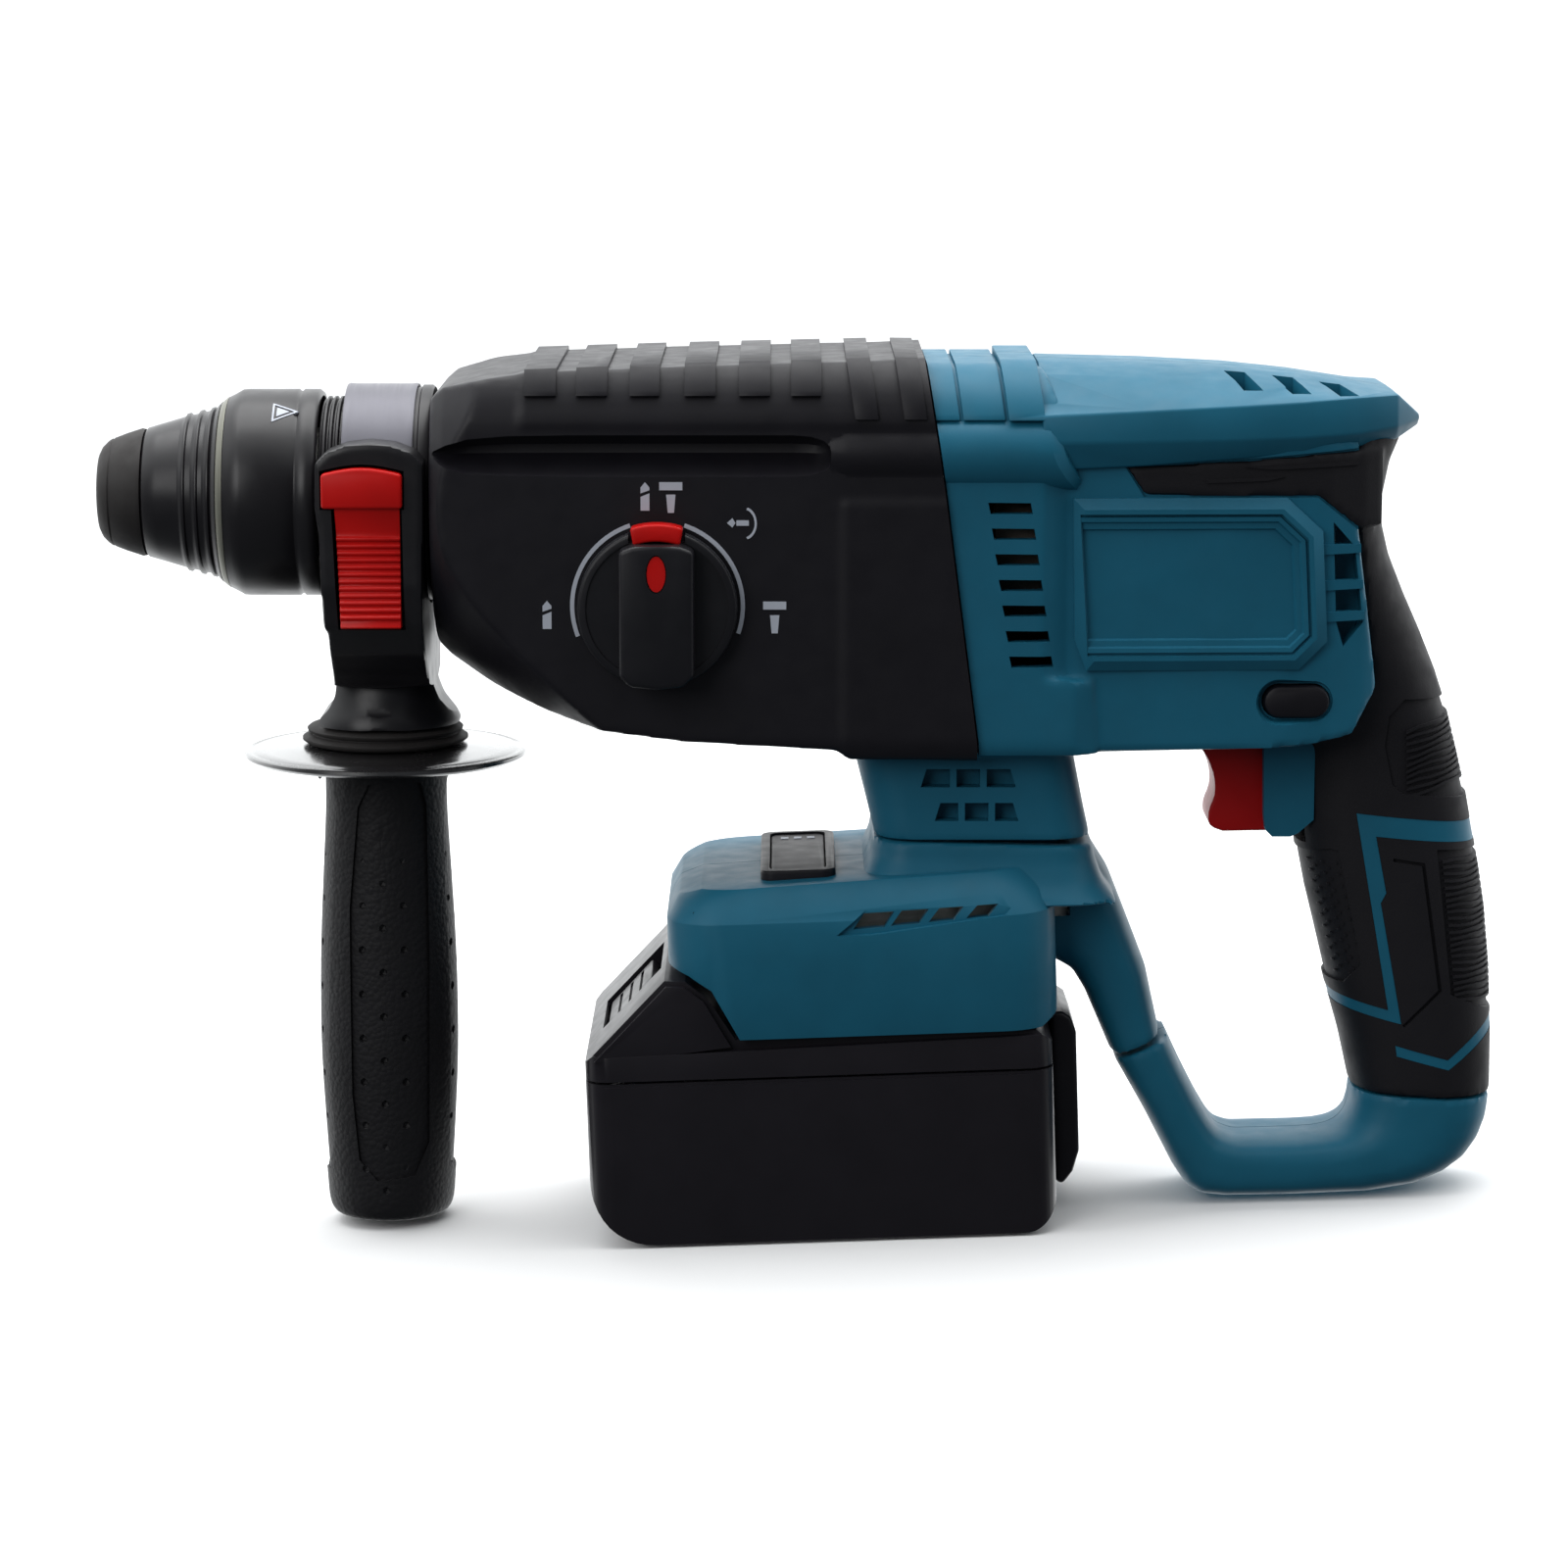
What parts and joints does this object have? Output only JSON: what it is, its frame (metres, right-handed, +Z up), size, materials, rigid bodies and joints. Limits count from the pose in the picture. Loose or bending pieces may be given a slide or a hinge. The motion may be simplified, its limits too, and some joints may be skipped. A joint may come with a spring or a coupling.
{
  "type": "cordless rotary hammer",
  "caption": "Cordless rotary hammer with a bit chuck, side handle, mode knob, D-shaped rear handle with trigger, and a slide-on battery pack it stands on.",
  "frame": {"origin": "centre of the flat bottom of the battery, the face the tool stands on", "axes": "+Z up, +X from the bit towards the rear handle, -Y the side with the mode knob; the barrel axis lies in the XZ plane, 169.5 mm above the origin and tilted 2 degrees nose up"},
  "size_m": [0.3209, 0.0873, 0.2024],
  "materials": {
    "matte_black": "fine satin grain",
    "sleeve_black": "satin black with turned grooves",
    "collar_black": "satin black",
    "teal_housing": "satin moulded plastic",
    "nose_rubber": "smooth soft rubber",
    "grip_rubber": "textured soft rubber",
    "battery_gloss": "semi-gloss moulded plastic",
    "signal_red": "semi-gloss moulded plastic",
    "satin_steel": "satin",
    "machined_steel": "ground and oiled",
    "screw_black": "blackened",
    "cast_alloy": "as cast",
    "motor_iron": "laminated",
    "circuit_board": "solder mask",
    "smoked_lens": "smoked clear plastic",
    "cell_sleeve": "shrink sleeve"
  },
  "bodies": {
    "housing": {"gear_housing": "matte_black", "collar": "collar_black", "front_seal": "nose_rubber", "spindle_bearing": "machined_steel", "shaft_front_bearing": "machined_steel", "shaft_rear_bearing": "machined_steel", "bearing_plate": "cast_alloy", "stator": "motor_iron", "rotor_front_bearing": "machined_steel", "rotor_rear_bearing": "machined_steel", "body_shell_left": "teal_housing", "body_shell_right": "teal_housing", "grip_rubber_left": "grip_rubber", "grip_rubber_right": "grip_rubber", "screw_front_top": "screw_black", "screw_front_bottom": "screw_black", "screw_rear_top": "screw_black", "screw_handle": "screw_black", "switch_body": "matte_black", "base_shell_left": "teal_housing", "base_shell_right": "teal_housing", "lamp_lens": "smoked_lens", "controller_board": "circuit_board", "terminal_block": "matte_black"},
    "spindle_group": {"nose_cap": "nose_rubber", "spindle": "machined_steel", "locking_ball_right": "machined_steel", "locking_ball_left": "machined_steel", "guide_ring": "machined_steel", "chuck_spring": "machined_steel", "spindle_gear": "machined_steel"},
    "sleeve": {"chuck_sleeve": "sleeve_black", "sleeve_trim_ring": "satin_steel"},
    "impact_bolt": {"impact_bolt": "machined_steel"},
    "striker": {"striker": "machined_steel"},
    "piston": {"piston": "machined_steel"},
    "wobble_finger": {"wobble_finger": "machined_steel"},
    "intermediate_shaft": {"intermediate_shaft": "machined_steel", "intermediate_gear": "machined_steel"},
    "rotor": {"rotor": "motor_iron", "fan": "matte_black"},
    "mode_knob": {"mode_knob": "matte_black"},
    "knob_lock": {"knob_lock_button": "signal_red"},
    "shift_fork": {"shift_fork": "machined_steel"},
    "trigger": {"trigger": "signal_red"},
    "reversing_lever": {"reversing_lever": "matte_black"},
    "side_handle": {"handle_clamp": "matte_black", "clamp_strap": "satin_steel", "clamp_bolt": "machined_steel", "damping_ring": "nose_rubber"},
    "side_grip": {"side_grip": "grip_rubber", "guard_disc": "matte_black"},
    "depth_button": {"depth_button": "signal_red"},
    "battery": {"battery_lower_case": "battery_gloss", "battery_upper_case": "battery_gloss", "latch_spring": "machined_steel", "cell_pack": "cell_sleeve", "gauge_panel": "battery_gloss"},
    "battery_release": {"battery_release_button": "battery_gloss"},
    "gauge_button": {"gauge_button": "battery_gloss"}
  },
  "joints": [
    {"name": "spindle_spin", "type": "hinge", "parent": "housing", "child": "spindle_group", "pos_m": [0, 0, 0.1695], "axis": [0.9994, 0, -0.0349], "continuous": true},
    {"name": "sleeve_slide", "type": "slide", "parent": "spindle_group", "child": "sleeve", "axis": [0.9994, 0, -0.0349], "range_m": [0, 0.005], "stiffness_N_per_m": 900, "springref_m": -0.002},
    {"name": "intermediate_spin", "type": "hinge", "parent": "housing", "child": "intermediate_shaft", "pos_m": [-0.00098, 0, 0.14152], "axis": [0.9994, 0, -0.0349], "continuous": true},
    {"name": "rotor_spin", "type": "hinge", "parent": "housing", "child": "rotor", "pos_m": [-0.00038, 0, 0.15851], "axis": [0.9994, 0, -0.0349], "continuous": true},
    {"name": "piston_stroke", "type": "slide", "parent": "housing", "child": "piston", "axis": [0.9994, 0, -0.0349], "range_m": [-0.0068, 0.0068]},
    {"name": "wobble_rock", "type": "hinge", "parent": "housing", "child": "wobble_finger", "pos_m": [0.00902, 0, 0.14117], "axis": [0, 1, 0], "range_deg": [-14.2, 14.2]},
    {"name": "striker_stroke", "type": "slide", "parent": "housing", "child": "striker", "axis": [0.9994, 0, -0.0349], "range_m": [-0.005, 0.006]},
    {"name": "impact_bolt_stroke", "type": "slide", "parent": "housing", "child": "impact_bolt", "axis": [0.9994, 0, -0.0349], "range_m": [-0.004, 0]},
    {"name": "mode_knob_turn", "type": "hinge", "parent": "housing", "child": "mode_knob", "pos_m": [-0.02124, -0.0373, 0.14853], "axis": [0, 1, 0], "range_deg": [-90, 90]},
    {"name": "knob_lock_press", "type": "slide", "parent": "mode_knob", "child": "knob_lock", "axis": [-0.0349, 0, -0.9994], "range_m": [0, 0.002], "stiffness_N_per_m": 600, "springref_m": -0.001},
    {"name": "shift_fork_slide", "type": "slide", "parent": "housing", "child": "shift_fork", "axis": [0.9994, 0, -0.0349], "range_m": [-0.0041, 0.0041]},
    {"name": "trigger_pull", "type": "slide", "parent": "housing", "child": "trigger", "axis": [0.9994, 0, -0.0349], "range_m": [0, 0.007], "stiffness_N_per_m": 900, "springref_m": -0.002},
    {"name": "reversing_lever_slide", "type": "slide", "parent": "housing", "child": "reversing_lever", "axis": [0, 1, 0], "range_m": [-0.003, 0.003]},
    {"name": "side_handle_swing", "type": "hinge", "parent": "housing", "child": "side_handle", "pos_m": [-0.08525, 0, 0.17248], "axis": [0.9994, 0, -0.0349], "continuous": true},
    {"name": "side_grip_turn", "type": "hinge", "parent": "side_handle", "child": "side_grip", "pos_m": [-0.08874, 0, 0.07254], "axis": [0.0349, 0, 0.9994], "continuous": true},
    {"name": "depth_button_press", "type": "slide", "parent": "side_handle", "child": "depth_button", "axis": [0, 1, 0], "range_m": [0, 0.002], "stiffness_N_per_m": 800, "springref_m": -0.001},
    {"name": "battery_slide", "type": "slide", "parent": "housing", "child": "battery", "axis": [-1, 0, 0], "range_m": [0, 0.026]},
    {"name": "battery_release_press", "type": "slide", "parent": "battery", "child": "battery_release", "axis": [0, 0, -1], "range_m": [0, 0.0024], "stiffness_N_per_m": 500, "springref_m": -0.001},
    {"name": "gauge_button_press", "type": "slide", "parent": "battery", "child": "gauge_button", "axis": [-1, 0, 0], "range_m": [0, 0.0012], "stiffness_N_per_m": 500, "springref_m": -0.001}
  ],
  "couplings": [
    {"joint": "intermediate_spin", "follows": "spindle_spin", "ratio": -2.5},
    {"joint": "rotor_spin", "follows": "spindle_spin", "ratio": 8.125},
    {"joint": "wobble_rock", "follows": "piston_stroke", "rad_per_m": 35.714},
    {"joint": "shift_fork_slide", "follows": "mode_knob_turn", "m_per_rad": 0.00255}
  ]
}
